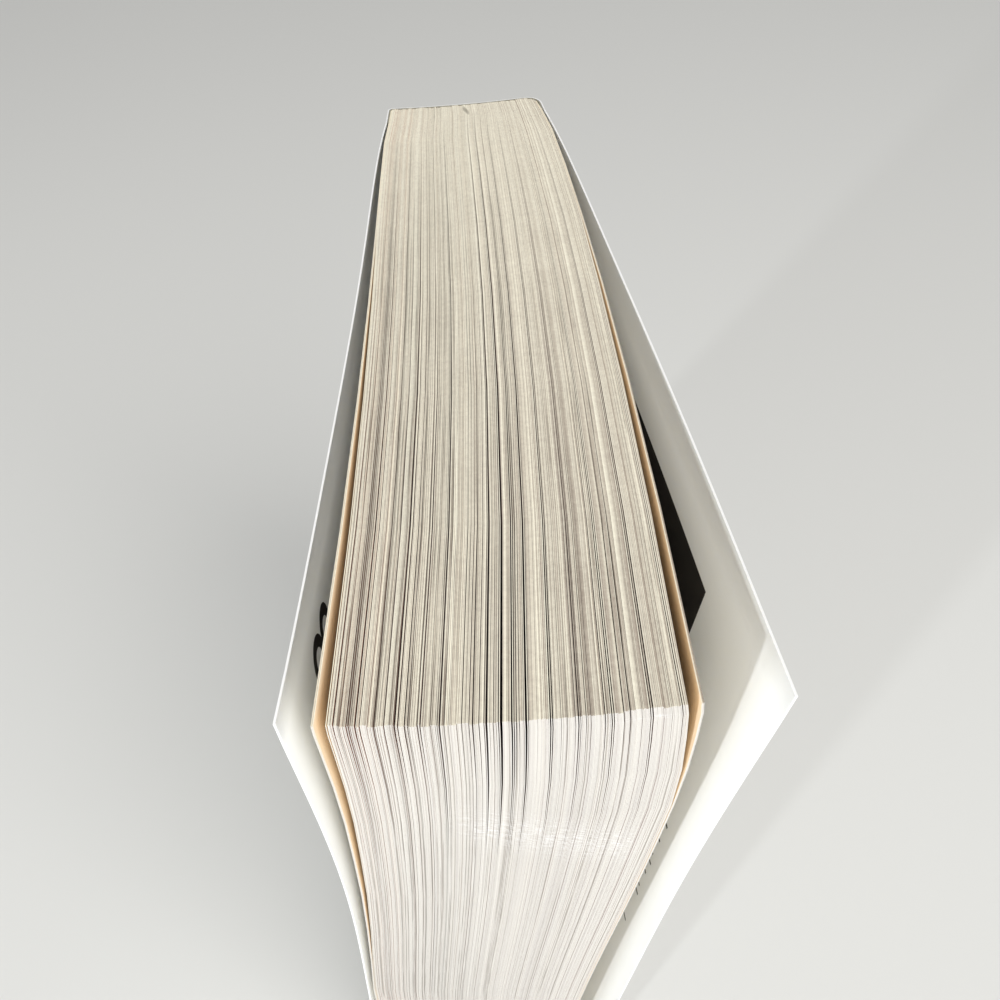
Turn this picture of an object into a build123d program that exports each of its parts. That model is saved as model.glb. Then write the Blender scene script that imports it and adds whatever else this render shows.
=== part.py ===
from build123d import *
import os

# A thick paperback book, standing on its tail, in millimetres.
# X runs through the thickness, from the front cover to the back cover.
# Y runs along the leaves, from the fore-edge to the spine, and Z runs from the tail to the head.
# The origin is the middle of the text block's tail.

# Text block: trimmed leaves, held tight at the spine and fanned at the fore-edge
book_height = 229.0
leaf_width = 152.0
bound_thickness = 32.7
fore_thickness = 39.8
cocking = 2.5
spine_hollow = 0.9
front_splay = 0.4
back_splay = 0.8
leaf_sway_width = 1.38
middle_sway_width = 0.72
leaf_lean_width = 0.45
page_drift_width = 2.8
page_spread_width = 1.05
fan_power_share = 0.55
edge_drift_share = 0.59

# First and last leaf, which stand off the block
loose_leaf = 0.3
front_stand_off = 1.4
back_stand_off = 1.4
front_parting_share = 0.3
back_parting_share = 0.45

# Binding glue and cover card
glue_thickness = 0.35
card_thickness = 0.3
hinge_strip = 7.0
score_gap = 0.3
front_corner = 0.5
back_corner = 2.6

# Cover panels, which follow the loose leaves and spring open from them towards the fore-edge
front_gap = 3.6
back_gap = 9.5
front_gap_power_share = 1.0
back_gap_power_share = 1.45
front_dip = 2.7
back_dip = 1.3

# Wide partings between groups of leaves: share of the leaves in front of each one, its place
# across the fore-edge, its width there and its depth, each as a share of the whole
wide_parting_shares = (
    (0.085, 0.071, 0.007, 0.62),
    (0.165, 0.138, 0.006, 0.46),
    (0.365, 0.316, 0.009, 0.40),
    (0.515, 0.444, 0.008, 0.50),
    (0.555, 0.482, 0.011, 0.80),
    (0.594, 0.515, 0.008, 0.48),
    (0.633, 0.551, 0.011, 0.76),
    (0.700, 0.619, 0.009, 0.58),
    (0.765, 0.697, 0.007, 0.62),
    (0.839, 0.786, 0.007, 0.52),
    (0.935, 0.891, 0.009, 0.56),
)

# Narrow partings, which divide the leaves between the wide ones about evenly
narrow_spacing = 0.85
narrow_width_share = 0.004
narrow_depth_shares = (0.30, 0.44, 0.24, 0.36, 0.52, 0.28)

# Levels of the leaves' fore-edge: shares of the height, of the drift and of the spread
block_level_shares = (
    (0.00, 0.00, 0.30),
    (0.15, -0.20, 0.70),
    (0.30, -0.40, 0.95),
    (0.45, -0.34, 1.00),
    (0.55, 0.05, 0.68),
    (0.64, 0.48, 0.53),
    (0.73, 0.84, 0.33),
    (0.80, 0.98, 0.31),
    (0.87, 1.00, 0.31),
    (0.94, 0.63, 0.29),
    (1.00, 0.00, 0.00),
)

# Levels of the cover panels: shares of the height and of the dip
panel_level_shares = (
    (0.00, 0.00),
    (0.25, 0.05),
    (0.50, 0.60),
    (0.73, 1.00),
    (0.90, 0.52),
    (1.00, 0.00),
)

# Shares along a leaf or a panel at which its curve is set, and of one straight step of a parting
curve_shares = (0.0, 0.09, 0.3, 0.6, 0.85, 1.0)
wall_step_share = 0.25

half_bound = bound_thickness / 2
half_fore = fore_thickness / 2
half_cocking = cocking / 2
bound_y = leaf_width / 2
overlay = glue_thickness + card_thickness
front_leaf_x = -half_fore - front_stand_off - loose_leaf
back_leaf_x = half_fore + back_stand_off + loose_leaf
panel_width = leaf_width + overlay - hinge_strip - score_gap


def bound_edge(side):
    """Y of a leaf's bound edge, with side running from -1 at the front to 1 at the back."""
    return bound_y + half_cocking * side - spine_hollow * (1 - side * side)


def strip_end(x):
    """Y at which the glued hinge strips end, on one straight line across the book."""
    return bound_y + half_cocking * x / half_bound + overlay - hinge_strip


def leaf_start(bound_side):
    """X at which a leaf leaves the glued end, which splays a little from the spine's corners."""
    middle_splay = (back_splay - front_splay) / 2
    half_splay = (back_splay + front_splay) / 2
    return half_bound * bound_side + middle_splay + half_splay * bound_side


def leaf_point(bound_side, fore_x, share, level):
    """A point of a leaf that starts at bound_side and ends at fore_x, share of the way along."""
    height_share, drift_share, spread_share = level
    side = fore_x / half_fore
    fan = share**fan_power_share
    sway = leaf_sway_width + middle_sway_width * (1 - side * side)
    arch = sway * 4 * share * (1 - share) - leaf_lean_width * share**3
    middle_share = edge_drift_share + (1 - edge_drift_share) * (1 - side * side)
    bow = page_drift_width * drift_share * middle_share + page_spread_width * spread_share * side
    start_x = leaf_start(bound_side)
    x = start_x * (1 - fan) + fore_x * fan + arch + bow * share * share
    start = strip_end(start_x)
    end = bound_edge(side) - leaf_width
    return (x, start + (end - start) * share, book_height * height_share)


def parting_wall(bound_side, fore_x, inset, gap, tip_share, level):
    """Points of one wall of a parting, from the fore-edge in to its closed end."""
    count = max(1, round((1 - tip_share) / wall_step_share))
    points = []
    for index in range(count, -1, -1):
        step = index / count
        share = tip_share + (1 - tip_share) * step
        x, y, z = leaf_point(bound_side, fore_x, share, level)
        points.append((x + inset + gap * step, y, z))
    return points


def parting(bound_side, fore_x, inset, gaps, tip_share, level):
    """Both walls of a parting, which opens by the two gaps on either side of its leaf line."""
    return [parting_wall(bound_side, fore_x, inset, gap, tip_share, level) for gap in gaps]


def all_parting_shares():
    """The wide partings in order from the front, with the narrow ones set in between them."""
    front = (0, 0)
    rows = []
    for wide in wide_parting_shares + ((1, 1, 0, 0),):
        count = round((wide[1] - front[1]) * fore_thickness / narrow_spacing)
        for index in range(1, count):
            step = index / count
            bound_share = front[0] + (wide[0] - front[0]) * step
            fore_share = front[1] + (wide[1] - front[1]) * step
            depth_share = narrow_depth_shares[len(rows) % len(narrow_depth_shares)]
            rows.append((bound_share, fore_share, narrow_width_share, depth_share))
        rows.append(wide)
        front = wide
    return rows[:-1]


def block_section(level):
    """Outline of the leaves' free part at one level, with every parting in it."""
    front_gaps = (0, front_stand_off)
    back_gaps = (-back_stand_off, 0)
    partings = [parting(-1, front_leaf_x, loose_leaf, front_gaps, front_parting_share, level)]
    for bound_share, fore_share, width_share, depth_share in all_parting_shares():
        half_gap = width_share * half_fore
        bound_side = 2 * bound_share - 1
        fore_x = (2 * fore_share - 1) * half_fore
        partings.append(parting(bound_side, fore_x, 0, (-half_gap, half_gap), 1 - depth_share, level))
    partings.append(parting(1, back_leaf_x, -loose_leaf, back_gaps, back_parting_share, level))
    front_side = [leaf_point(-1, front_leaf_x, share, level) for share in curve_shares]
    back_side = [leaf_point(1, back_leaf_x, share, level) for share in curve_shares]
    edges = [Spline(*front_side)]
    corner = front_side[-1]
    for near_wall, far_wall in partings:
        edges.append(Line(corner, near_wall[0]))
        edges += Polyline(*near_wall).edges()
        edges += Polyline(*reversed(far_wall)).edges()
        corner = far_wall[0]
    edges.append(Line(corner, back_side[-1]))
    edges.append(Spline(*reversed(back_side)))
    edges.append(Line(back_side[0], front_side[0]))
    return Face(Wire(edges))


def bound_end(grow):
    """The bound end of the book as a block, grown outwards over the spine and both sides."""
    half = half_bound + grow
    front_low_x = leaf_start(-1) - grow
    back_low_x = leaf_start(1) + grow
    front_high = (-half, bound_edge(-1) + grow)
    middle = (0, bound_edge(0) + grow)
    back_high = (half, bound_edge(1) + grow)
    back_low = (back_low_x, strip_end(back_low_x))
    front_low = (front_low_x, strip_end(front_low_x))
    spine = ThreePointArc(front_high, middle, back_high)
    sides = Polyline(back_high, back_low, front_low, front_high)
    block = extrude(make_face([spine, sides]), book_height)
    for (x, y), radius in ((front_high, front_corner), (back_high, back_corner)):
        upright = block.edges().filter_by(Axis.Z).sort_by_distance((x, y, book_height / 2))[0]
        block = fillet(upright, radius + grow)
    return block


def make_text_block():
    leaves = loft([block_section(level) for level in block_level_shares], ruled=True)
    return (bound_end(0) + leaves).clean()


def make_spine_glue():
    return bound_end(glue_thickness) - bound_end(0)


def make_cover_spine():
    return bound_end(overlay) - bound_end(glue_thickness)


def panel_section(side, loose_x, fore_gap, gap_power_share, dip, level):
    """Outline of one cover panel at one level; side is -1 for the front and 1 for the back."""
    height_share, dip_share = level
    outer_x = []
    for share in curve_shares:
        leaf_x = leaf_point(side, loose_x, share, (height_share, 0, 0))[0]
        stand_off = overlay + fore_gap * share**gap_power_share - dip * dip_share * share * share
        outer_x.append(leaf_x + side * stand_off)
    hinge_y = strip_end(outer_x[0]) - score_gap
    reach = (panel_width**2 - (outer_x[-1] - outer_x[0])**2)**0.5
    outer = []
    for x, share in zip(outer_x, curve_shares):
        outer.append(Vector(x, hinge_y - reach * share, book_height * height_share))
    along = (outer[-1] - outer[0]).normalized()
    inward = along.rotate(Axis.Z, -90 * side) * card_thickness
    inner = [point + inward for point in reversed(outer)]
    edges = [Spline(*outer), Line(outer[-1], inner[0]), Spline(*inner), Line(inner[-1], outer[0])]
    return Face(Wire(edges))


def make_panel(side, loose_x, fore_gap, gap_power_share, dip):
    sections = []
    for level in panel_level_shares:
        sections.append(panel_section(side, loose_x, fore_gap, gap_power_share, dip, level))
    return loft(sections)


os.makedirs("parts", exist_ok=True)
export_step(make_text_block(), "parts/text_block.step")
export_step(make_spine_glue(), "parts/spine_glue.step")
export_step(make_cover_spine(), "parts/cover_spine.step")
front_cover = make_panel(-1, front_leaf_x, front_gap, front_gap_power_share, front_dip)
back_cover = make_panel(1, back_leaf_x, back_gap, back_gap_power_share, back_dip)
export_step(front_cover, "parts/front_cover.step")
export_step(back_cover, "parts/back_cover.step")
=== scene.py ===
import math
import bpy
import numpy as np
from mathutils import Matrix, Vector


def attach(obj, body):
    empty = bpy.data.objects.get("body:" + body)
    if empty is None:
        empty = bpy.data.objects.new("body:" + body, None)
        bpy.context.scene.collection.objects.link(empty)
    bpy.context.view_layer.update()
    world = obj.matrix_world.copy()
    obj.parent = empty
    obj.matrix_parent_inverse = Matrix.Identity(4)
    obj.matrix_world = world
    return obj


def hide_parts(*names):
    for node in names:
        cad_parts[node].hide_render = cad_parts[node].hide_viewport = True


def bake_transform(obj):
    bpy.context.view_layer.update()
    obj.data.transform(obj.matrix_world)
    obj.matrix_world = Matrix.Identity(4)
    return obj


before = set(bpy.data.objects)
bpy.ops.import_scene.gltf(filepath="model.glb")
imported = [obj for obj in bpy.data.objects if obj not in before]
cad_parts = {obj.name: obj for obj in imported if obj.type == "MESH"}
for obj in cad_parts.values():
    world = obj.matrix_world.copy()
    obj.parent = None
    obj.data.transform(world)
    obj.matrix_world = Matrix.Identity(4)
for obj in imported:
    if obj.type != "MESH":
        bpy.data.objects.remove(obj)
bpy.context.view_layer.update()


# Camera: a close hand-held shot from above the head, on the fore-edge side.
# The photograph was cut out of a wider picture, so the lens centre lies left of its middle.
camera_place = Vector((-0.0071, -0.12255, 0.3167))
camera_pitch = math.radians(47.98)
camera_heading = math.radians(5.961)
camera_roll = math.radians(5.71)
focal_length = 31.32
lens_shift = 0.12

level_right = Vector((math.cos(camera_heading), math.sin(camera_heading), 0))
ahead = Vector((-math.sin(camera_heading), math.cos(camera_heading), 0))
upright = Vector((0, 0, 1))
forward = ahead * math.cos(camera_pitch) - upright * math.sin(camera_pitch)
level_up = ahead * math.sin(camera_pitch) + upright * math.cos(camera_pitch)
right = level_right * math.cos(camera_roll) - level_up * math.sin(camera_roll)
up = level_right * math.sin(camera_roll) + level_up * math.cos(camera_roll)

camera_data = bpy.data.cameras.new("photo_camera")
camera_data.lens = focal_length
camera_data.sensor_width = 36
camera_data.shift_x = lens_shift
camera_data.clip_start = 0.01
camera = bpy.data.objects.new("photo_camera", camera_data)
camera_axes = Matrix((right, up, -forward)).transposed().to_4x4()
camera.matrix_world = Matrix.Translation(camera_place) @ camera_axes
bpy.context.scene.collection.objects.link(camera)
bpy.context.scene.camera = camera


# Text block: about 350 trimmed leaves of uncoated cream book paper, glued at the spine.
# The leaves fan out towards the fore-edge in groups, with air between the groups, and the first
# and the last few stand off the rest.
leaf_count = 350
leaf_width = 0.152
leaf_height = 0.229
bound_thickness = 0.0327
fore_thickness = 0.0398
cocking = 0.0025
spine_hollow = 0.0009
front_splay = 0.0004
back_splay = 0.0008
back_corner = 0.0026
hinge_strip = 0.007
overlay = 0.00065
leaf_sway = 0.00138
middle_sway = 0.00072
leaf_lean = 0.00045
page_drift = 0.001
page_spread = 0.00105
fan_power = 0.55
edge_drift = 1.38
stand_off = 0.0014
loose_thickness = 0.0003

# Partings between groups of leaves: share of the leaves in front, place across the fore-edge and
# width there as shares of the fore-edge
wide_partings = (
    (0.085, 0.071, 0.0055), (0.165, 0.138, 0.005), (0.365, 0.316, 0.007), (0.515, 0.444, 0.009),
    (0.555, 0.482, 0.013), (0.594, 0.515, 0.009), (0.633, 0.551, 0.012), (0.700, 0.619, 0.008),
    (0.765, 0.697, 0.006), (0.835, 0.786, 0.006), (0.915, 0.891, 0.007),
)

# How the fore-edge waves down its height: height shares with shares of its drift to the back and
# of its spread
drift_levels = (
    (0.00, 0.00), (0.15, -0.20), (0.30, -0.40), (0.45, -0.34), (0.55, 0.05), (0.64, 0.48),
    (0.73, 0.84), (0.80, 0.98), (0.87, 1.00), (0.94, 0.63), (1.00, 0.00),
)
spread_levels = (
    (0.00, 0.30), (0.15, 0.70), (0.30, 0.95), (0.45, 1.00), (0.55, 0.68), (0.64, 0.53),
    (0.73, 0.33), (0.80, 0.31), (0.87, 0.31), (0.94, 0.29), (1.00, 0.00),
)

MATH = "ShaderNodeMath"


def add(tree, kind, *values, named=None, **settings):
    """Adds a node, makes its settings, and links or sets its inputs."""
    node = tree.nodes.new(kind)
    for key, value in settings.items():
        setattr(node, key, value)
    for key, value in list(enumerate(values)) + list((named or {}).items()):
        socket = value.outputs[0] if isinstance(value, bpy.types.Node) else value
        if isinstance(socket, bpy.types.NodeSocket):
            tree.links.new(socket, node.inputs[key])
        elif value is not None:
            node.inputs[key].default_value = value
    return node


def set_curve(node, points, handle):
    """Gives a curve node its points, with all handles of one kind."""
    curve = node.mapping.curves[0]
    node.mapping.use_clip = False
    for x, y in points[1:-1]:
        curve.points.new(x, y)
    for point, place in zip(curve.points, points):
        point.location = place
        point.handle_type = handle
    node.mapping.update()
    return node


def linear(hex_colour):
    """Linear colour of an sRGB hex value."""
    parts = [int(hex_colour[i:i + 2], 16) / 255 for i in (1, 3, 5)]
    return [p / 12.92 if p <= 0.04045 else ((p + 0.055) / 1.055) ** 2.4 for p in parts] + [1]


def new_material(name):
    """A material with its node tree and its shader."""
    material = bpy.data.materials.new(name)
    material.use_nodes = True
    return material, material.node_tree, material.node_tree.nodes["Principled BSDF"]


# Uncoated book paper, cut by a guillotine: matt and slightly fibrous cream. The cut edges of the
# leaves carry painted light and shade, a little lighter or darker in turn, most of all where they
# fan out, and the sides of the pages carry painted shade in the partings and a painted warm glow
# where light would come through a leaf.
paper, tree, shader = new_material("uncoated_book_paper")
place = add(tree, "ShaderNodeTexCoord").outputs["Object"]
axes = add(tree, "ShaderNodeSeparateXYZ", place).outputs
surface = add(tree, "ShaderNodeNewGeometry").outputs
normal = add(tree, "ShaderNodeSeparateXYZ", surface["Normal"]).outputs
painted_leaf_shading = add(tree, "ShaderNodeAttribute", attribute_name="painted_leaf_shading").outputs["Fac"]
painted_group_shading = add(tree, "ShaderNodeAttribute", attribute_name="painted_group_shading").outputs["Fac"]
low_leaf_shade_mark = add(tree, "ShaderNodeAttribute", attribute_name="low_leaf_shade_mark").outputs["Fac"]
loose_side = add(tree, "ShaderNodeAttribute", attribute_name="loose_side").outputs["Fac"]

# The clumps of fibres are 0.67 mm across, coarser than real ones so that they show, and the
# paper's mottle is 7.7 mm across
fibre_scale = 1500.0
mottle_scale = 130.0
fibres = add(tree, "ShaderNodeTexNoise",
             named={"Vector": place, "Scale": fibre_scale, "Detail": 3.0, "Roughness": 0.6})
mottle = add(tree, "ShaderNodeTexNoise",
             named={"Vector": place, "Scale": mottle_scale, "Detail": 3.0})

# Painted light and shade: the cut edges differ from leaf to leaf and from group to group, most of
# all where the leaves fan out, and painted shade makes them a little darker there towards the back
fanned = add(tree, "ShaderNodeMapRange", axes["Y"], 0.06, -0.06, 0.15, 1.0)
painted_edge_shading = add(tree, MATH, painted_leaf_shading, 0.23, operation="MULTIPLY")
painted_edge_shading = add(tree, MATH, painted_group_shading, 0.05, painted_edge_shading, operation="MULTIPLY_ADD")
painted_shade_back = add(tree, "ShaderNodeMapRange", axes["X"], 0.0, 0.01, 0.10, 0.24)
painted_edge_shading = add(tree, MATH, painted_edge_shading, painted_shade_back, operation="SUBTRACT")
painted_edge_shading = add(tree, MATH, painted_edge_shading, fanned, 0.68, operation="MULTIPLY_ADD")
fibre_tone = add(tree, MATH, fibres, 0.5, operation="SUBTRACT")
speckle = add(tree, MATH, fibre_tone, 0.28, painted_edge_shading, operation="MULTIPLY_ADD")
mottle_tone = add(tree, MATH, mottle, 0.5, operation="SUBTRACT")
speckle = add(tree, MATH, mottle_tone, 0.12, speckle, operation="MULTIPLY_ADD")
cut_colour = add(tree, "ShaderNodeValToRGB", speckle)
cut_colour.color_ramp.elements[0].position = 0.2
cut_colour.color_ramp.elements[0].color = linear("#A3978A")
cut_colour.color_ramp.elements[1].position = 0.8
cut_colour.color_ramp.elements[1].color = linear("#FCF7E3")

# Painted light: the fore-edge, which faces the lamps, is painted less yellow than the head. A
# colour mix takes its two colours at inputs 6 and 7 and gives its result at output 2.
is_fore = add(tree, "ShaderNodeMapRange", normal["Y"], -0.3, -0.8, 0.0, 1.0)
painted_fore_light = add(tree, MATH, is_fore, 0.8, operation="MULTIPLY")
cut_colour = add(tree, "ShaderNodeMix", painted_fore_light, data_type="RGBA",
                 named={6: cut_colour, 7: linear("#DEDBD7")}).outputs[2]

# Painted shade: dark lines on the cut edges of a few leaves stand in for leaves that lie a hair
# lower than the rest, and they break off every 22 mm or so. There are fewer of them towards the
# back.
break_scale = 45.0
stretch = add(tree, "ShaderNodeCombineXYZ", low_leaf_shade_mark, axes["Y"], axes["Z"])
broken = add(tree, "ShaderNodeTexNoise",
             named={"Vector": stretch, "Scale": break_scale, "Detail": 1.0})
broken = add(tree, "ShaderNodeMapRange", broken, 0.38, 0.52, 0.0, 1.0)
fewer = add(tree, "ShaderNodeMapRange", axes["X"], 0.0, 0.006, 0.0, 0.09)
is_shaded_leaf = add(tree, MATH, low_leaf_shade_mark, fewer, operation="SUBTRACT")
is_shaded_leaf = add(tree, "ShaderNodeMapRange", is_shaded_leaf, 0.80, 0.84, 0.0, 0.85)
fainter = add(tree, MATH, is_fore, -0.4, 1.0, operation="MULTIPLY_ADD")
is_shaded_leaf = add(tree, MATH, is_shaded_leaf, fainter, operation="MULTIPLY")
# The dark lines are painted shade
line = add(tree, MATH, broken, is_shaded_leaf, operation="MULTIPLY")
line = add(tree, MATH, line, fanned, operation="MULTIPLY")
cut_colour = add(tree, "ShaderNodeMix", line, data_type="RGBA",
                 named={6: cut_colour, 7: linear("#6E6357")}).outputs[2]

# A pale scuff runs slantwise down the fore-edge, and a short one lies just under the head. Each
# has its start and its end across the fore-edge, its height at its start, its slope, its half
# width and its strength. Its strokes are 0.24 mm wide and drawn out eight times along it.
stroke_scale = 4200.0
stroke_drawing = 0.12
for start, end, top, slope, half_width, strength in (
        (-0.0075, 0.021, 0.2019, -0.51, 0.0085, 0.75),
        (0.010, 0.0205, 0.2268, 0.03, 0.0006, 0.5)):
    sloping = add(tree, MATH, axes["X"], -slope, slope * start - top, operation="MULTIPLY_ADD")
    from_line = add(tree, MATH, axes["Z"], sloping, operation="ADD")
    off_line = add(tree, MATH, from_line, operation="ABSOLUTE")
    near_line = add(tree, "ShaderNodeMapRange", off_line, half_width, 0.1 * half_width,
                    0.0, strength)
    past_start = add(tree, "ShaderNodeMapRange", axes["X"], start, start + 0.004, 0.0, 1.0)
    before_end = add(tree, "ShaderNodeMapRange", axes["X"], end - 0.003, end, 1.0, 0.0)
    inside = add(tree, MATH, past_start, before_end, operation="MULTIPLY")
    drawn_out = add(tree, MATH, axes["X"], stroke_drawing, operation="MULTIPLY")
    strokes = add(tree, "ShaderNodeCombineXYZ", drawn_out, 0.0, from_line)
    strokes = add(tree, "ShaderNodeTexNoise",
                  named={"Vector": strokes, "Scale": stroke_scale, "Detail": 2.0})
    strokes = add(tree, "ShaderNodeMapRange", strokes, 0.47, 0.62, 0.0, 1.0)
    scuff = add(tree, MATH, near_line, inside, operation="MULTIPLY")
    scuff = add(tree, MATH, scuff, strokes, operation="MULTIPLY")
    scuff = add(tree, MATH, scuff, is_fore, operation="MULTIPLY")
    cut_colour = add(tree, "ShaderNodeMix", scuff, data_type="RGBA",
                     named={6: cut_colour, 7: linear("#F6F5F4")}).outputs[2]

# A small dark smudge lies on the head, close to the spine, and leans a little
smudge_x = 0.00045
smudge_y = 0.0723
smudge_lean = 0.25
smudge_half_width = 0.0006
smudge_half_length = 0.0024
leaning = add(tree, MATH, axes["Y"], smudge_lean, -smudge_lean * smudge_y - smudge_x,
              operation="MULTIPLY_ADD")
across = add(tree, MATH, axes["X"], leaning, operation="ADD")
across = add(tree, MATH, across, 1 / smudge_half_width, operation="MULTIPLY")
across = add(tree, MATH, across, across, operation="MULTIPLY")
along = add(tree, MATH, axes["Y"], smudge_y, operation="SUBTRACT")
along = add(tree, MATH, along, 1 / smudge_half_length, operation="MULTIPLY")
along = add(tree, MATH, along, along, operation="MULTIPLY")
smudge = add(tree, MATH, across, along, operation="ADD")
smudge = add(tree, "ShaderNodeMapRange", smudge, 1.0, 0.1, 0.0, 0.6)
is_head = add(tree, MATH, normal["Z"], 0.7, operation="GREATER_THAN")
smudge = add(tree, MATH, smudge, is_head, operation="MULTIPLY")
cut_colour = add(tree, "ShaderNodeMix", smudge, data_type="RGBA",
                 named={6: cut_colour, 7: linear("#6F6A5C")}).outputs[2]

# Painted shade and light on the sides of the pages: they are painted darker in the partings,
# reddish there near the front, and painted a bright warm peach beside the loose leaves, where
# light would come through a leaf
even_side = add(tree, "ShaderNodeAttribute", attribute_name="even_side").outputs["Fac"]
from_middle = add(tree, MATH, even_side, operation="ABSOLUTE")
# The peach beside the loose leaves is painted light
beside = add(tree, MATH, from_middle, 0.97, operation="GREATER_THAN")
sideways = add(tree, MATH, normal["X"], operation="ABSOLUTE")
is_face = add(tree, MATH, sideways, 0.7, operation="GREATER_THAN")
painted_ruddy_shade = add(tree, "ShaderNodeMapRange", even_side, -0.5, -0.9, 0.0, 1.0)
painted_gap_light_and_shade = add(tree, "ShaderNodeMix", painted_ruddy_shade, data_type="RGBA",
                   named={6: linear("#BBA79E"), 7: linear("#C09582")}).outputs[2]
painted_gap_light_and_shade = add(tree, "ShaderNodeMix", beside, data_type="RGBA",
                   named={6: painted_gap_light_and_shade, 7: linear("#FCEACF")}).outputs[2]
outward = add(tree, MATH, normal["X"], loose_side, operation="MULTIPLY")
is_outside = add(tree, MATH, outward, 0.5, operation="GREATER_THAN")
face_colour = add(tree, "ShaderNodeMix", is_outside, data_type="RGBA",
                  named={6: painted_gap_light_and_shade, 7: linear("#EFE9DC")}).outputs[2]
colour = add(tree, "ShaderNodeMix", is_face, data_type="RGBA",
             named={6: cut_colour, 7: face_colour}).outputs[2]
tree.links.new(colour, shader.inputs["Base Color"])
shader.inputs["Roughness"].default_value = 0.9
shader.inputs["Specular IOR Level"].default_value = 0.25
bump = add(tree, "ShaderNodeBump", named={"Strength": 0.25, "Distance": 0.00005, "Height": fibres})
tree.links.new(bump.outputs[0], shader.inputs["Normal"])

# The tree that makes the leaves. The steps are those of a leaf's rim, from the spine to the
# fore-edge and from the tail to the head.
tree = bpy.data.node_groups.new("fanned_leaves", "GeometryNodeTree")
tree.interface.new_socket("Geometry", in_out="OUTPUT", socket_type="NodeSocketGeometry")
leaf_sizes = {
    "Leaf width": leaf_width, "Leaf height": leaf_height,
    "Bound thickness": bound_thickness, "Fore-edge thickness": fore_thickness,
    "Stand-off": stand_off, "Loose thickness": loose_thickness, "Trim wander": 0.00014,
}
leaf_counts = {"Leaves": leaf_count, "Leaves in a group": 7, "Seed": 7}
run_steps = 8
fore_steps = 13
for name in leaf_sizes:
    tree.interface.new_socket(name, in_out="INPUT", socket_type="NodeSocketFloat")
for name in leaf_counts:
    tree.interface.new_socket(name, in_out="INPUT", socket_type="NodeSocketInt")
size = add(tree, "NodeGroupInput").outputs
half_bound = add(tree, MATH, size["Bound thickness"], 0.5, operation="MULTIPLY")
half_fore = add(tree, MATH, size["Fore-edge thickness"], 0.5, operation="MULTIPLY")

# One point a leaf, with the leaf's place in the block, its group and its painted light and shade
index = add(tree, "GeometryNodeInputIndex")
middle_index = add(tree, MATH, index, 0.5, operation="ADD")
bound_share = add(tree, MATH, middle_index, size["Leaves"], operation="DIVIDE")
bound_side = add(tree, MATH, bound_share, 2.0, -1.0, operation="MULTIPLY_ADD")
even_points = [(0, 0)] + [(bound, fore) for bound, fore, width in wide_partings] + [(1, 1)]
parting_step = 0.0004
parted_points = [(0, 0)]
for bound, fore, width in wide_partings:
    parted_points.append((bound - parting_step, fore - width / 2))
    parted_points.append((bound + parting_step, fore + width / 2))
parted_points.append((1, 1))
even_share = add(tree, "ShaderNodeFloatCurve", 1.0, bound_share)
even_share = set_curve(even_share, even_points, "VECTOR")
parted_share = add(tree, "ShaderNodeFloatCurve", 1.0, bound_share)
parted_share = set_curve(parted_share, parted_points, "VECTOR")
even_side = add(tree, MATH, even_share, 2.0, -1.0, operation="MULTIPLY_ADD")
parting_shift = add(tree, MATH, parted_share, even_share, operation="SUBTRACT")
parting_shift = add(tree, MATH, parting_shift, size["Fore-edge thickness"], operation="MULTIPLY")

# The groups are unequal: a slow noise, which turns every 14 leaves or so, moves their bounds by
# up to 8 leaves each way
wander_step = 0.07
wander_reach = 16.0
wander = add(tree, MATH, index, wander_step, operation="MULTIPLY")
wander = add(tree, "ShaderNodeTexNoise", noise_dimensions="1D",
             named={"W": wander, "Scale": 1.0, "Detail": 1.0})
wander = add(tree, MATH, wander, wander_reach, index, operation="MULTIPLY_ADD")
group_place = add(tree, MATH, wander, size["Leaves in a group"], operation="DIVIDE")
group = add(tree, MATH, group_place, operation="FLOOR")
in_group = add(tree, MATH, group_place, group, operation="SUBTRACT")
in_group = add(tree, MATH, in_group, 0.5, operation="SUBTRACT")


def seeded(low, high, identity, offset):
    """A random number for each leaf or group, from the tree's own seed."""
    seed = add(tree, MATH, size["Seed"], offset, operation="ADD")
    random = add(tree, "FunctionNodeRandomValue",
                 named={2: low, 3: high, "ID": identity, "Seed": seed})
    return random.outputs[1]


# The leaves of a group lie close, and leave their air between the groups. The pitch of the leaves
# at the fore-edge is the slope of the even curve at the group's middle.
group_leaves = add(tree, MATH, in_group, size["Leaves in a group"], operation="MULTIPLY")
centre_index = add(tree, MATH, middle_index, group_leaves, operation="SUBTRACT")
centre_share = add(tree, MATH, centre_index, size["Leaves"], operation="DIVIDE")
slope_reach = 0.02
ends = []
for offset in (-slope_reach, slope_reach):
    share = add(tree, MATH, centre_share, offset, operation="ADD")
    ends.append(set_curve(add(tree, "ShaderNodeFloatCurve", 1.0, share), even_points, "VECTOR"))
slope = add(tree, MATH, ends[1], ends[0], operation="SUBTRACT")
slope = add(tree, MATH, slope, 1 / (2 * slope_reach), operation="MULTIPLY")
pitch = add(tree, MATH, slope, size["Fore-edge thickness"], operation="MULTIPLY")
pitch = add(tree, MATH, pitch, size["Leaves"], operation="DIVIDE")
group_pull = add(tree, MATH, seeded(0.2, 1.0, group, 1.0), 2.0, operation="POWER")
tighter = add(tree, "ShaderNodeMapRange", bound_side, 0.25, 0.45, 0.34, 0.2)
group_pull = add(tree, MATH, group_pull, tighter, operation="MULTIPLY")

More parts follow.
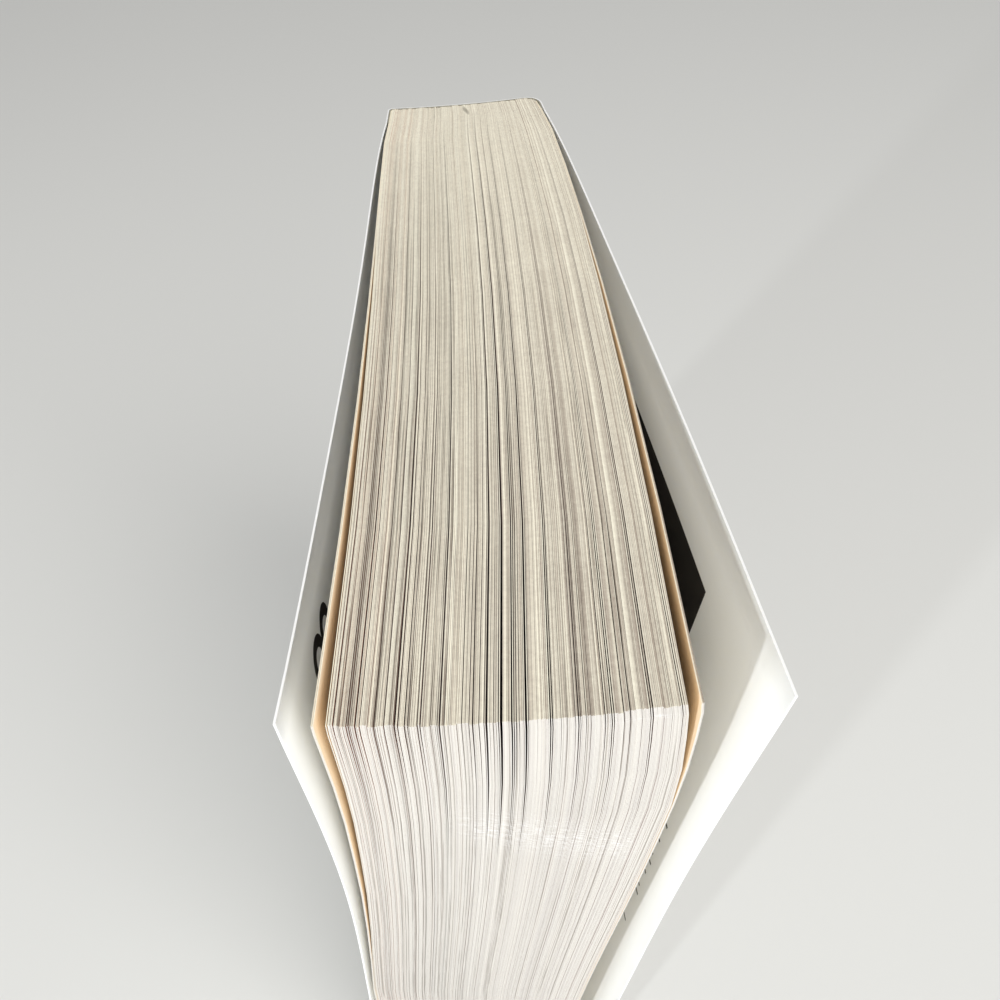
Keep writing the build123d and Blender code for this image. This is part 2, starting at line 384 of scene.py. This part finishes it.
# Three leaves at the front and two at the back stand off the block together
front_loose = 3
back_loose = 2
is_first = add(tree, MATH, index, front_loose - 0.5, operation="LESS_THAN")
last_bound = add(tree, MATH, size["Leaves"], back_loose + 0.5, operation="SUBTRACT")
is_last = add(tree, MATH, index, last_bound, operation="GREATER_THAN")
loose_side = add(tree, MATH, is_last, is_first, operation="SUBTRACT")
is_bound = add(tree, MATH, loose_side, operation="ABSOLUTE")
is_bound = add(tree, MATH, 1.0, is_bound, operation="SUBTRACT")
group_pull = add(tree, MATH, group_pull, is_bound, operation="MULTIPLY")
group_leaves = add(tree, MATH, group_leaves, seeded(-0.12, 0.12, index, 9.0), operation="ADD")
tip = seeded(0.0, 0.45, group, 2.0)
trim = add(tree, MATH, seeded(-1.0, 0.6, group, 5.0), seeded(-0.4, 0.4, index, 6.0),
           operation="ADD")
trim = add(tree, MATH, trim, size["Trim wander"], operation="MULTIPLY")

leaf_values = {
    "bound_side": bound_side, "even_side": even_side, "parting_shift": parting_shift,
    "group_leaves": group_leaves, "group_pull": group_pull, "pitch": pitch,
    "is_bound": is_bound, "loose_side": loose_side, "tip": tip, "trim": trim,
    "painted_group_shading": seeded(-1.0, 1.0, group, 3.0), "painted_leaf_shading": seeded(-1.0, 1.0, index, 4.0),
    "low_leaf_shade_mark": seeded(0.0, 1.0, index, 8.0),
}
geometry = add(tree, "GeometryNodePoints", size["Leaves"])
for name, value in leaf_values.items():
    geometry = add(tree, "GeometryNodeStoreNamedAttribute", geometry, data_type="FLOAT",
                   domain="POINT", named={"Name": name, "Value": value})

# A leaf inside the block shows only its rim. It starts as a flat outline, whose head, fore-edge
# and tail are divided finely, and its two sides are filled with long triangles from rim to rim.
side_index = add(tree, "GeometryNodeInputIndex")
is_odd = add(tree, MATH, side_index, 2.0, operation="MODULO")
is_even = add(tree, MATH, 1.0, is_odd, operation="SUBTRACT")
is_fore_side = add(tree, MATH, side_index, 1.0, operation="COMPARE")
cuts = add(tree, MATH, is_fore_side, fore_steps - 1, operation="MULTIPLY")
cuts = add(tree, MATH, is_even, run_steps - 1, cuts, operation="MULTIPLY_ADD")
outline = add(tree, "GeometryNodeCurvePrimitiveQuadrilateral", named={"Width": 1.0, "Height": 1.0})
outline = add(tree, "GeometryNodeSubdivideCurve", outline, cuts)
near_side = add(tree, "GeometryNodeFillCurve", outline, mode="TRIANGLES")
far_side = add(tree, "GeometryNodeExtrudeMesh", near_side,
               named={"Offset": (0, 0, 1), "Individual": False})
inner_leaf = add(tree, "GeometryNodeJoinGeometry", add(tree, "GeometryNodeFlipFaces", near_side))
tree.links.new(far_side.outputs[0], inner_leaf.inputs[0])
inner_leaf = add(tree, "GeometryNodeMergeByDistance", inner_leaf)
lying = add(tree, "ShaderNodeSeparateXYZ", add(tree, "GeometryNodeInputPosition")).outputs
layer = add(tree, MATH, lying["Z"], 0.5, operation="SUBTRACT")
standing = add(tree, "ShaderNodeCombineXYZ", layer, lying["X"], lying["Y"])
inner_leaf = add(tree, "GeometryNodeSetPosition", inner_leaf, named={"Position": standing})

# The sides of the few outermost leaves can be seen, so those leaves are a fine grid
outer_leaf = add(tree, "GeometryNodeMeshCube", (1, 1, 1), 2, run_steps + 1, fore_steps + 1)
is_outer = add(tree, "GeometryNodeInputNamedAttribute", "even_side", data_type="FLOAT")
is_outer = add(tree, MATH, is_outer, operation="ABSOLUTE")
is_outer = add(tree, MATH, is_outer, 0.93, operation="GREATER_THAN")
is_inner = add(tree, MATH, 1.0, is_outer, operation="SUBTRACT")
both = add(tree, "GeometryNodeJoinGeometry")
for chosen, leaf in ((is_outer, outer_leaf), (is_inner, inner_leaf)):
    placed = add(tree, "GeometryNodeInstanceOnPoints", geometry,
                 named={"Selection": chosen, "Instance": leaf})
    tree.links.new(placed.outputs[0], both.inputs[0])
geometry = add(tree, "GeometryNodeRealizeInstances", both)


def leaf_value(name):
    """A value that was stored with each leaf."""
    return add(tree, "GeometryNodeInputNamedAttribute", name, data_type="FLOAT")


# Each leaf's sheet, from its glued edge to the fore-edge and from its tail to its head. Its first
# step is the glued strip, and its other steps crowd towards the strip and the head, where it
# bends most.
strip_crowding = 1.4
head_crowding = 1.8
local = add(tree, "ShaderNodeSeparateXYZ", add(tree, "GeometryNodeInputPosition")).outputs
run = add(tree, MATH, 0.5, local["Y"], operation="SUBTRACT")
strip_share = add(tree, "ShaderNodeMapRange", run, 0.0, 1 / run_steps, 0.0, 1.0)
free_share = add(tree, "ShaderNodeMapRange", run, 1 / run_steps, 1.0, 0.0, 1.0)
free_share = add(tree, MATH, free_share, strip_crowding, operation="POWER")
from_head = add(tree, MATH, 0.5, local["Z"], operation="SUBTRACT")
from_head = add(tree, MATH, from_head, head_crowding, operation="POWER")
height_share = add(tree, MATH, 1.0, from_head, operation="SUBTRACT")
fan = add(tree, MATH, free_share, fan_power, operation="POWER")
rest_share = add(tree, MATH, 1.0, free_share, operation="SUBTRACT")
half_full = add(tree, MATH, half_fore, size["Stand-off"], operation="ADD")
half_full = add(tree, MATH, half_full, size["Loose thickness"], operation="ADD")
fore_x = add(tree, MATH, leaf_value("even_side"), half_full, operation="MULTIPLY")
side = add(tree, MATH, fore_x, half_fore, operation="DIVIDE")
side_square = add(tree, MATH, side, side, operation="MULTIPLY")
middle = add(tree, MATH, 1.0, side_square, operation="SUBTRACT")
sway = add(tree, MATH, middle, 4 * middle_sway, 4 * leaf_sway, operation="MULTIPLY_ADD")
arch = add(tree, MATH, free_share, rest_share, operation="MULTIPLY")
arch = add(tree, MATH, arch, sway, operation="MULTIPLY")
lean = add(tree, MATH, free_share, 3.0, operation="POWER")
arch = add(tree, MATH, lean, -leaf_lean, arch, operation="MULTIPLY_ADD")
drift = set_curve(add(tree, "ShaderNodeFloatCurve", 1.0, height_share), drift_levels, "AUTO")
spread = set_curve(add(tree, "ShaderNodeFloatCurve", 1.0, height_share), spread_levels, "AUTO")
middle = add(tree, MATH, middle, 1 - edge_drift, edge_drift, operation="MULTIPLY_ADD")
bow = add(tree, MATH, drift, middle, operation="MULTIPLY")
bow = add(tree, MATH, bow, page_drift, operation="MULTIPLY")
spread = add(tree, MATH, spread, side, operation="MULTIPLY")
bow = add(tree, MATH, spread, page_spread, bow, operation="MULTIPLY_ADD")
free_square = add(tree, MATH, free_share, free_share, operation="MULTIPLY")

bound_line = add(tree, MATH, leaf_value("bound_side"), half_bound, operation="MULTIPLY")
splay = add(tree, MATH, leaf_value("bound_side"), (back_splay + front_splay) / 2,
            (back_splay - front_splay) / 2, operation="MULTIPLY_ADD")
bound_x = add(tree, MATH, splay, strip_share, bound_line, operation="MULTIPLY_ADD")
parting_opening = add(tree, "ShaderNodeMapRange", height_share, 0.82, 1.0, 0.1, 1.0)
fore_x = add(tree, MATH, leaf_value("parting_shift"), parting_opening, fore_x,
             operation="MULTIPLY_ADD")
x = add(tree, MATH, fore_x, bound_x, operation="SUBTRACT")
x = add(tree, MATH, x, fan, bound_x, operation="MULTIPLY_ADD")

# The gaps between groups open towards the fore-edge and the head. A leaf fills nearly all of its
# pitch.
leaf_fill = 0.95
group_opening = add(tree, "ShaderNodeMapRange", free_share, leaf_value("tip"), 1.0, 0.0, 1.0)
group_opening = add(tree, MATH, group_opening, 0.7, operation="POWER")
near_head = add(tree, "ShaderNodeMapRange", height_share, 0.93, 1.0, 0.35, 1.0)
group_opening = add(tree, MATH, group_opening, near_head, operation="MULTIPLY")
pull = add(tree, MATH, leaf_value("group_pull"), group_opening, operation="MULTIPLY")
bound_pitch = add(tree, MATH, size["Bound thickness"], size["Leaves"], operation="DIVIDE")
wider = add(tree, MATH, leaf_value("pitch"), bound_pitch, operation="SUBTRACT")
pitch = add(tree, MATH, wider, fan, bound_pitch, operation="MULTIPLY_ADD")
shift = add(tree, MATH, leaf_value("group_leaves"), pull, operation="MULTIPLY")
shift = add(tree, MATH, shift, pitch, operation="MULTIPLY")
x = add(tree, MATH, x, shift, operation="SUBTRACT")
thickness = add(tree, MATH, 1.0, pull, operation="SUBTRACT")
thickness = add(tree, MATH, thickness, pitch, operation="MULTIPLY")
thickness = add(tree, MATH, thickness, leaf_fill, operation="MULTIPLY")

# The loose leaves stand off the rest at the head, and the rest comes out to them lower down, at
# the height shares given here
front_closed = 0.58
back_closed = 0.90
stand_opening = add(tree, "ShaderNodeMapRange", free_share, 0.3, 1.0, 0.0, 1.0)
stand = add(tree, MATH, leaf_value("even_side"), size["Stand-off"], operation="MULTIPLY")
stand = add(tree, MATH, stand, stand_opening, operation="MULTIPLY")
at_back = add(tree, MATH, leaf_value("even_side"), 0.0, operation="GREATER_THAN")
closed_height = add(tree, MATH, at_back, back_closed - front_closed, front_closed,
                    operation="MULTIPLY_ADD")
closing = add(tree, "ShaderNodeMapRange", height_share, closed_height, 1.0, 0.06, 1.0)
closing = add(tree, MATH, closing, leaf_value("is_bound"), operation="MULTIPLY")
stand = add(tree, MATH, stand, closing, operation="MULTIPLY")
x = add(tree, MATH, x, stand, operation="SUBTRACT")
x = add(tree, MATH, x, arch, operation="ADD")
x = add(tree, MATH, bow, free_square, x, operation="MULTIPLY_ADD")
x = add(tree, MATH, local["X"], thickness, x, operation="MULTIPLY_ADD")

half_leaf = add(tree, MATH, size["Leaf width"], 0.5, operation="MULTIPLY")


def bound_edge(side):
    """How far back the leaves' bound edge lies, with the spine cocked and hollow."""
    square = add(tree, MATH, side, side, operation="MULTIPLY")
    hollow = add(tree, MATH, square, spine_hollow, -spine_hollow, operation="MULTIPLY_ADD")
    cocked = add(tree, MATH, side, cocking / 2, hollow, operation="MULTIPLY_ADD")
    return add(tree, MATH, cocked, half_leaf, operation="ADD")


# The spine's back corner is rounded
corner_start = add(tree, MATH, back_corner, half_bound, operation="SUBTRACT")
past_corner = add(tree, MATH, bound_line, corner_start, operation="ADD")
past_corner = add(tree, MATH, past_corner, 0.0, operation="MAXIMUM")
past_corner = add(tree, MATH, past_corner, back_corner, operation="DIVIDE")
corner_rest = add(tree, MATH, past_corner, past_corner, operation="MULTIPLY")
corner_rest = add(tree, MATH, 1.0, corner_rest, operation="SUBTRACT")
corner_rest = add(tree, MATH, corner_rest, 0.0, operation="MAXIMUM")
corner_rest = add(tree, MATH, corner_rest, 0.5, operation="POWER")
corner_drop = add(tree, MATH, corner_rest, back_corner, -back_corner, operation="MULTIPLY_ADD")
bound_y = add(tree, MATH, bound_edge(leaf_value("bound_side")), corner_drop, operation="ADD")
fore_y = add(tree, MATH, bound_edge(leaf_value("even_side")), size["Leaf width"],
             operation="SUBTRACT")

# The knife's wander shows at the head, and a little less at the fore-edge
fore_trim = 0.7
fore_y = add(tree, MATH, leaf_value("trim"), fore_trim, fore_y, operation="MULTIPLY_ADD")
strip_x = add(tree, MATH, bound_line, splay, operation="ADD")
strip_x = add(tree, MATH, strip_x, half_bound, operation="DIVIDE")
strip_y = add(tree, MATH, strip_x, cocking / 2, overlay - hinge_strip, operation="MULTIPLY_ADD")
strip_y = add(tree, MATH, strip_y, half_leaf, operation="ADD")
to_strip = add(tree, MATH, strip_y, bound_y, operation="SUBTRACT")
y = add(tree, MATH, to_strip, strip_share, bound_y, operation="MULTIPLY_ADD")
to_fore = add(tree, MATH, fore_y, strip_y, operation="SUBTRACT")
y = add(tree, MATH, to_fore, free_share, y, operation="MULTIPLY_ADD")
z = add(tree, MATH, size["Leaf height"], leaf_value("trim"), operation="ADD")
z = add(tree, MATH, z, height_share, operation="MULTIPLY")

# The tree ends with all its leaves made real, because the export drops instances
sheet_point = add(tree, "ShaderNodeCombineXYZ", x, y, z)
geometry = add(tree, "GeometryNodeSetPosition", geometry, named={"Position": sheet_point})
geometry = add(tree, "GeometryNodeRealizeInstances", geometry)
geometry = add(tree, "GeometryNodeSetMaterial", geometry, named={"Material": paper})
add(tree, "NodeGroupOutput", geometry)


def grown(name, group, values):
    """A plain mesh object from a Geometry Nodes tree and its named inputs."""
    piece = bpy.data.objects.new(name, bpy.data.meshes.new(name))
    bpy.context.scene.collection.objects.link(piece)
    modifier = piece.modifiers.new(name, "NODES")
    modifier.node_group = group
    for item in group.interface.items_tree:
        if item.name in values:
            modifier[item.identifier] = values[item.name]
    graph = bpy.context.evaluated_depsgraph_get()
    mesh = bpy.data.meshes.new_from_object(piece.evaluated_get(graph), depsgraph=graph)
    piece.modifiers.remove(modifier)
    piece.data = mesh
    mesh.name = name
    return piece


leaves = grown("leaves", tree, leaf_sizes | leaf_counts)
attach(leaves, "book")
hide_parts("text_block")


# Binding glue: a thin skin of hot-melt glue over the spine and the hinge strips, with lumps of
# 2.5 mm in it. It shows only as a fine grey line between the leaves and the card at the head.
glue, tree, shader = new_material("hot_melt_binding_glue")
lump_scale = 400.0
place = add(tree, "ShaderNodeTexCoord").outputs["Object"]
lumps = add(tree, "ShaderNodeTexNoise",
            named={"Vector": place, "Scale": lump_scale, "Detail": 3.0})
glue_colour = add(tree, "ShaderNodeValToRGB", lumps)
glue_colour.color_ramp.elements[0].color = linear("#6E6A5C")
glue_colour.color_ramp.elements[1].color = linear("#A8A391")
tree.links.new(glue_colour.outputs[0], shader.inputs["Base Color"])
shader.inputs["Roughness"].default_value = 0.55
bump = add(tree, "ShaderNodeBump", named={"Strength": 0.5, "Distance": 0.0001, "Height": lumps})
tree.links.new(bump.outputs[0], shader.inputs["Normal"])
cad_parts["spine_glue"].data.materials.clear()
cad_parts["spine_glue"].data.materials.append(glue)


# Cover: one folded sheet of white card, 0.3 mm thick, glued to the spine and along 7 mm of each
# side, and scored there. It is laminated outside, bare inside, and its trimmed edges show the
# bright card core.
card_thickness = 0.0003
score_gap = 0.0003
front_gap = 0.0036
back_gap = 0.0095
front_gap_power = 1.0
back_gap_power = 1.45
front_dip = 0.0027
back_dip = 0.0013
curve_shares = (0.0, 0.09, 0.3, 0.6, 0.85, 1.0)
panel_columns = 36
panel_rows = 40
crease_columns = 8
column_crowding = 1.6
dip_height_power = 2.2
dip_breadth_power = 1.2

# The card's mottle is 25 mm across, so 9 of its clouds make up the book's height, and its fibres
# are 1 mm, so 240 of them do
clouds_up = 9.0
fibres_up = 240.0


def card_material(name, low, high, roughness, coat, map_name="UV", map_height=1.0):
    """White card with a faint mottle, more or less glossy, that lets a little light through."""
    material, tree, shader = new_material(name)
    place = add(tree, "ShaderNodeTexCoord").outputs[map_name]
    cloudy = add(tree, "ShaderNodeTexNoise",
                 named={"Vector": place, "Scale": clouds_up / map_height, "Detail": 5.0})
    fibres = add(tree, "ShaderNodeTexNoise",
                 named={"Vector": place, "Scale": fibres_up / map_height, "Detail": 3.0})
    card_colour = add(tree, "ShaderNodeValToRGB", cloudy)
    card_colour.color_ramp.elements[0].color = linear(low)
    card_colour.color_ramp.elements[1].color = linear(high)
    tree.links.new(card_colour.outputs[0], shader.inputs["Base Color"])
    shader.inputs["Roughness"].default_value = roughness
    shader.inputs["Coat Weight"].default_value = coat
    shader.inputs["Coat Roughness"].default_value = 0.22
    shader.inputs["Subsurface Weight"].default_value = 0.7
    shader.inputs["Subsurface Radius"].default_value = (1.0, 0.97, 0.9)
    shader.inputs["Subsurface Scale"].default_value = 0.0006
    bump = add(tree, "ShaderNodeBump",
               named={"Strength": 0.12, "Distance": 0.00005, "Height": fibres})
    tree.links.new(bump.outputs[0], shader.inputs["Normal"])
    return material, tree, shader, card_colour


laminate = card_material("laminated_cover_card", "#EEEEEC", "#F4F4F2", 0.35, 0.5)[0]
cut_card = card_material("trimmed_card_edge", "#F7F6F2", "#FDFCF8", 0.85, 0.0)[0]
spine_card, tree, shader, spine_colour = card_material(
    "laminated_spine_card", "#EEEEEC", "#F4F4F2", 0.35, 0.5, "Object", leaf_height)
surface = add(tree, "ShaderNodeNewGeometry").outputs
upward = add(tree, "ShaderNodeSeparateXYZ", surface["Normal"]).outputs["Z"]
is_cut = add(tree, MATH, upward, operation="ABSOLUTE")
is_cut = add(tree, MATH, is_cut, 0.7, operation="GREATER_THAN")
colour = add(tree, "ShaderNodeMix", is_cut, data_type="RGBA",
             named={6: spine_colour, 7: linear("#FDFCF8")}).outputs[2]
tree.links.new(colour, shader.inputs["Base Color"])


def inked(material_parts, shapes):
    """Card with flat black print: each shape is an oval or a rectangle, in metres from the front
    edge and from the head, with its half sizes and the share of it that is left open inside."""
    material, tree, shader, card_colour = material_parts
    spot = add(tree, "ShaderNodeTexCoord").outputs["UV"]
    spot = add(tree, "ShaderNodeSeparateXYZ", spot).outputs
    ink = None
    for oval, along, down, half_along, half_down, opening in shapes:
        reach = []
        for axis, centre, half in (("X", along, half_along), ("Y", leaf_height - down, half_down)):
            offset = add(tree, MATH, spot[axis], centre / leaf_height, operation="SUBTRACT")
            offset = add(tree, MATH, offset, leaf_height / half, operation="MULTIPLY")
            if oval:
                reach.append(add(tree, MATH, offset, 2.0, operation="POWER"))
            else:
                reach.append(add(tree, MATH, offset, operation="ABSOLUTE"))
        extent = add(tree, MATH, reach[0], reach[1], operation="ADD" if oval else "MAXIMUM")
        covered = add(tree, MATH, extent, 1.0, operation="LESS_THAN")
        outside = add(tree, MATH, extent, opening ** 2, operation="GREATER_THAN")
        covered = add(tree, MATH, covered, outside, operation="MULTIPLY")
        ink = covered if ink is None else add(tree, MATH, ink, covered, operation="MAXIMUM")
    colour = add(tree, "ShaderNodeMix", ink, data_type="RGBA",
                 named={6: card_colour, 7: linear("#1B1612")}).outputs[2]
    tree.links.new(colour, shader.inputs["Base Color"])
    return material


# Inside the front cover are two small black rings. Inside the back cover is a black panel, and
# below it rows of short thin bars.
front_inside = card_material("uncoated_front_card_inside", "#EDEEEC", "#F4F4F2", 0.75, 0.0)
front_shapes = [
    (True, 0.0168, 0.0140, 0.0029, 0.0048, 0.5),
    (True, 0.0222, 0.0143, 0.0028, 0.0048, 0.5),
]
front_inside = inked(front_inside, front_shapes)
back_inside = card_material("uncoated_back_card_inside", "#EDEEEC", "#F4F4F2", 0.75, 0.0)
back_shapes = [(False, 0.0483, 0.0378, 0.025, 0.025, 0)]
for number, down in enumerate((0.0592, 0.0660, 0.0728, 0.0762, 0.0816, 0.0893, 0.0927, 0.1101)):
    back_shapes.append((False, 0.0118 + 0.0003 * (number % 3), down, 0.0032, 0.0004, 0))
back_inside = inked(back_inside, back_shapes)


def cover_card(name, side, fore_gap, gap_power, dip):
    """One cover as a sheet with thickness, from its score line to its front edge. Its columns
    crowd towards the score, and its dip is deepest a little below the head."""
    splay = back_splay if side > 0 else -front_splay
    crease_x = side * (bound_thickness / 2 + overlay) + splay
    strip_y = leaf_width / 2 + overlay - hinge_strip + cocking * crease_x / bound_thickness
    hinge_y = strip_y - score_gap
    width = leaf_width + overlay - hinge_strip - score_gap
    loose_x = fore_thickness / 2 + stand_off + loose_thickness
    sway = leaf_sway + middle_sway * (1 - (loose_x / (fore_thickness / 2)) ** 2)
    rows = []
    for row in range(panel_rows + 1):
        height = row / panel_rows
        dip_here = 0
        if 0 < row < panel_rows:
            dip_here = dip * math.sin(math.pi * height**dip_height_power) ** dip_breadth_power
        set_x = []
        for share in curve_shares:
            fan = share**fan_power
            leaf_x = (crease_x - side * overlay) * (1 - fan) + side * loose_x * fan
            leaf_x += sway * 4 * share * (1 - share) - leaf_lean * share**3
            off = overlay + fore_gap * share**gap_power - dip_here * share * share
            set_x.append(leaf_x + side * off)
        reach = math.sqrt(width**2 - (set_x[-1] - set_x[0]) ** 2)
        bend = np.polyfit(curve_shares, set_x, len(curve_shares) - 1)
        outer = [(crease_x, strip_y - score_gap * step / crease_columns)
                 for step in range(crease_columns)]
        for column in range(panel_columns + 1):
            share = (column / panel_columns) ** column_crowding
            outer.append((float(np.polyval(bend, share)), hinge_y - reach * share))
        along = Vector((set_x[-1] - set_x[0], -reach)).normalized()
        inward = Vector((along.y, -along.x)) * card_thickness * side
        inner = [(x + inward.x, y + inward.y) for x, y in outer]
        for index in range(crease_columns):
            turn = index / crease_columns
            inner[index] = (outer[index][0] - side * card_thickness * (1 - turn) + inward.x * turn,
                            outer[index][1] + inward.y * turn)
        rows.append((outer, inner, height))
    columns = len(rows[0][0])
    vertices = []
    for layer in (0, 1):
        for row in rows:
            vertices += [(x, y, leaf_height * row[2]) for x, y in row[layer]]
    faces, kinds = [], []
    layer_size = len(rows) * columns

    def face(corners, kind):
        faces.append(corners if side > 0 else corners[::-1])
        kinds.append(kind)

    for row in range(panel_rows):
        for column in range(columns - 1):
            a = row * columns + column
            face((a, a + columns, a + columns + 1, a + 1), 0)
            b = a + layer_size
            face((b, b + 1, b + columns + 1, b + columns), 1)
        for column, flip in ((0, False), (columns - 1, True)):
            a = row * columns + column
            quad = (a, a + layer_size, a + layer_size + columns, a + columns)
            face(quad[::-1] if flip else quad, 2)
    for row, flip in ((0, True), (panel_rows, False)):
        for column in range(columns - 1):
            a = row * columns + column
            quad = (a, a + layer_size, a + layer_size + 1, a + 1)
            face(quad if flip else quad[::-1], 2)
    mesh = bpy.data.meshes.new(name)
    mesh.from_pydata(vertices, [], faces)
    for material in (laminate, front_inside if side < 0 else back_inside, cut_card):
        mesh.materials.append(material)
    mesh.polygons.foreach_set("material_index", kinds)
    layer = mesh.uv_layers.new(name="card_map")
    from_front = [width + score_gap * (1 - step / crease_columns)
                  for step in range(crease_columns)]
    from_front += [width * (1 - (column / panel_columns) ** column_crowding)
                   for column in range(panel_columns + 1)]
    for loop in mesh.loops:
        along = from_front[loop.vertex_index % columns]
        height = vertices[loop.vertex_index][2]
        layer.data[loop.index].uv = (along / leaf_height, height / leaf_height)
    for polygon, kind in zip(mesh.polygons, kinds):
        polygon.use_smooth = kind < 2
    piece = bpy.data.objects.new(name, mesh)
    bpy.context.scene.collection.objects.link(piece)
    body = "front_cover" if side < 0 else "back_cover"
    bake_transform(piece)
    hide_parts(body)


cover_card("front_cover_card", -1, front_gap, front_gap_power, front_dip)
cover_card("back_cover_card", 1, back_gap, back_gap_power, back_dip)
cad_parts["cover_spine"].data.materials.clear()
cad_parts["cover_spine"].data.materials.append(spine_card)


# Floor and light: a plain pale table, a large soft window high in front and to the right, a small
# low lamp in front and to the left, and an even pale room. Both lamps are aimed at the upper part
# of the book.
lit_place = Vector((0, 0, 0.17))
table, tree, shader = new_material("pale_table")
shader.inputs["Base Color"].default_value = linear("#D8D8D5")
shader.inputs["Roughness"].default_value = 0.8
floor_mesh = bpy.data.meshes.new("floor")
floor_mesh.from_pydata([(-3, -3, 0), (3, -3, 0), (3, 3, 0), (-3, 3, 0)], [], [(0, 1, 2, 3)])
floor_mesh.materials.append(table)
floor = bpy.data.objects.new("floor", floor_mesh)
bpy.context.scene.collection.objects.link(floor)

for name, place, width, energy, tint in (
        ("window", (0.520, -0.740, 1.180), 1.0, 13.9, (1.0, 0.99, 0.97)),
        ("low_lamp", (-0.84, -0.93, 0.32), 0.05, 7.2, (0.95, 0.98, 1.0))):
    lamp_data = bpy.data.lights.new(name, "AREA")
    lamp_data.shape = "RECTANGLE"
    lamp_data.size = width
    lamp_data.size_y = width
    lamp_data.energy = energy
    lamp_data.color = tint
    lamp = bpy.data.objects.new(name, lamp_data)
    aim = (lit_place - Vector(place)).to_track_quat("-Z", "Y").to_matrix().to_4x4()
    lamp.matrix_world = Matrix.Translation(place) @ aim
    bpy.context.scene.collection.objects.link(lamp)

world = bpy.data.worlds.new("room")
world.use_nodes = True
world.node_tree.nodes["Background"].inputs["Color"].default_value = linear("#F2F2F2")
world.node_tree.nodes["Background"].inputs["Strength"].default_value = 0.62
bpy.context.scene.world = world
bpy.context.scene.view_settings.view_transform = "Standard"
